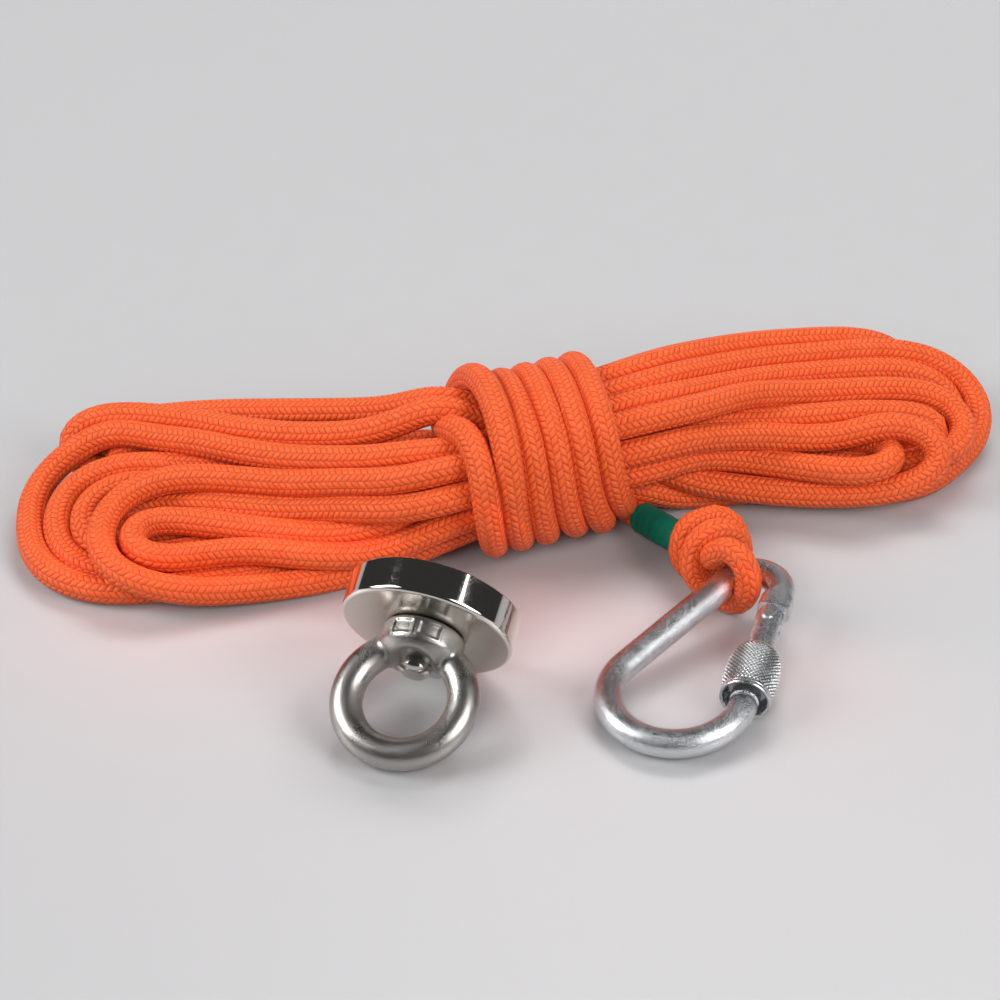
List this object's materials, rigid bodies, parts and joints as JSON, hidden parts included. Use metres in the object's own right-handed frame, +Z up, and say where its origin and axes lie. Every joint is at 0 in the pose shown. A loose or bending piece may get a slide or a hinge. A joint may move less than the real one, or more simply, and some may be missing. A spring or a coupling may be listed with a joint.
{
  "type": "magnet fishing magnet",
  "caption": "Round pot magnet with a steel eye nut, stored beside a tied hank of braided rope that ends in a knot round a screw-lock snap hook.",
  "frame": {"origin": "bottom centre of the box round the magnet and its eye nut as they lie on the floor; the rope and the snap hook are left out of that box", "axes": "+Z up; -Y is the way the magnet's ring points, so +Y is behind its attracting face; YZ is the magnet's plane of symmetry; +X is to the right as seen from the ring"},
  "size_m": [0.2342, 0.2002, 0.0414],
  "materials": {
    "pot_nickel": "mirror-bright nickel plate with fine scratches",
    "ferrite": "matt",
    "resin": "satin potting resin",
    "screw_steel": "plain",
    "eye_steel": "satin polish",
    "hook_zinc": "bright zinc plate, lightly pitted",
    "sleeve_zinc": "knurled, zinc plated",
    "spring_steel": "drawn wire",
    "rope_orange": "braided polyester",
    "shrink_green": "shrunk tube, glossy"
  },
  "bodies": {
    "rope_set": {"rope_hank": "rope_orange", "rope_wraps": "rope_orange", "rope_lead": "rope_orange", "heat_shrink": "shrink_green", "rope_knot": "rope_orange", "rope_eye": "rope_orange"},
    "magnet": {"pot_shell": "pot_nickel", "ring_magnet": "ferrite", "resin_outer": "resin", "resin_inner": "resin", "stud_screw": "screw_steel", "eye_nut": "eye_steel"},
    "hook": {"hook_body": "hook_zinc"},
    "gate": {"gate": "hook_zinc", "gate_pin": "hook_zinc", "gate_spring": "spring_steel"},
    "plunger": {"gate_plunger": "screw_steel"},
    "sleeve": {"lock_sleeve": "sleeve_zinc"}
  },
  "joints": [
    {"name": "magnet_lift", "type": "slide", "parent": "rope_set", "child": "magnet", "axis": [0, 0, 1], "range_m": [0, 0.06]},
    {"name": "carabiner_swing", "type": "hinge", "parent": "rope_set", "child": "hook", "pos_m": [0.06353, 0.06295, 0.01087], "axis": [-0.8165, -0.5701, -0.0915], "range_deg": [0, 60]},
    {"name": "gate_swing", "type": "hinge", "parent": "hook", "child": "gate", "pos_m": [0.07401, 0.04676, 0.00927], "axis": [0.0294, 0.1174, -0.9927], "range_deg": [0, 25], "stiffness_Nm_per_rad": 0.08, "springref_deg": -17.19},
    {"name": "gate_plunge", "type": "slide", "parent": "gate", "child": "plunger", "axis": [0.0309, -0.9927, -0.1164], "range_m": [0, 0.0008], "deforming": ["gate_spring"]},
    {"name": "sleeve_lock", "type": "slide", "parent": "gate", "child": "sleeve", "axis": [0.0309, -0.9927, -0.1164], "range_m": [-0.002, 0.004]}
  ],
  "couplings": [
    {"joint": "gate_plunge", "follows": "gate_swing", "m_per_rad": 0.0017}
  ]
}
